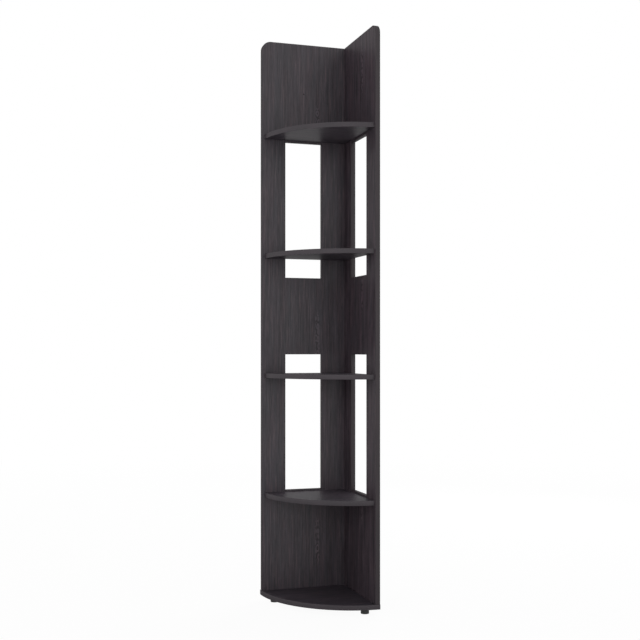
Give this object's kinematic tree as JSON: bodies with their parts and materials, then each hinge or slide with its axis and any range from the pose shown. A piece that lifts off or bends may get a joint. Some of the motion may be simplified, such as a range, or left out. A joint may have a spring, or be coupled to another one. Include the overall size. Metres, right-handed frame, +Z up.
{
  "type": "corner shelf unit",
  "caption": "Tall corner shelf unit: quarter-round shelves between windowed back panels set at a right angle, on a quarter-round base with short feet, for storage and display in a room corner.",
  "frame": {"origin": "on the floor, under the middle of the unit's box", "axes": "+Z up; +Y and +X point at the two walls behind the unit, so the outer back corner is at +X +Y and the shelves open towards -X and -Y"},
  "size_m": [0.299, 0.299, 1.804],
  "materials": {
    "laminate": "dark brown-grey woodgrain melamine foil on particle board, satin",
    "edge_band": "dark brown-grey edge strip, satin",
    "foot_plastic": "moulded dark grey plastic",
    "screw_steel": "zinc-plated steel",
    "dowel_beech": "plain beech"
  },
  "bodies": {
    "root": {"left_back_panel": "laminate", "right_back_panel": "laminate", "base_board": "laminate", "shelf_1": "laminate", "shelf_2": "laminate", "shelf_3": "laminate", "shelf_4": "laminate", "base_edge_band": "edge_band", "shelf_1_edge_band": "edge_band", "shelf_2_edge_band": "edge_band", "shelf_3_edge_band": "edge_band", "shelf_4_edge_band": "edge_band", "left_panel_edge_band": "edge_band", "right_panel_edge_band": "edge_band", "left_lower_window_band": "edge_band", "left_upper_window_band": "edge_band", "right_lower_window_band": "edge_band", "right_upper_window_band": "edge_band", "back_foot": "foot_plastic", "left_foot": "foot_plastic", "right_foot": "foot_plastic", "back_foot_screw": "screw_steel", "left_foot_screw": "screw_steel", "right_foot_screw": "screw_steel", "shelf_1_left_back_screw": "screw_steel", "shelf_1_left_front_screw": "screw_steel", "shelf_1_right_back_screw": "screw_steel", "shelf_1_right_front_screw": "screw_steel", "shelf_2_left_back_screw": "screw_steel", "shelf_2_left_front_screw": "screw_steel", "shelf_2_right_back_screw": "screw_steel", "shelf_2_right_front_screw": "screw_steel", "shelf_3_left_back_screw": "screw_steel", "shelf_3_left_front_screw": "screw_steel", "shelf_3_right_back_screw": "screw_steel", "shelf_3_right_front_screw": "screw_steel", "shelf_4_left_back_screw": "screw_steel", "shelf_4_left_front_screw": "screw_steel", "shelf_4_right_back_screw": "screw_steel", "shelf_4_right_front_screw": "screw_steel", "base_left_back_screw": "screw_steel", "base_left_front_screw": "screw_steel", "base_right_back_screw": "screw_steel", "base_right_front_screw": "screw_steel", "corner_screw_1": "screw_steel", "corner_screw_2": "screw_steel", "corner_screw_3": "screw_steel", "corner_screw_4": "screw_steel", "corner_screw_5": "screw_steel", "base_left_back_dowel": "dowel_beech", "base_left_front_dowel": "dowel_beech", "base_right_back_dowel": "dowel_beech", "base_right_front_dowel": "dowel_beech", "corner_dowel_1": "dowel_beech", "corner_dowel_2": "dowel_beech", "corner_dowel_3": "dowel_beech", "corner_dowel_4": "dowel_beech"}
  },
  "joints": []
}
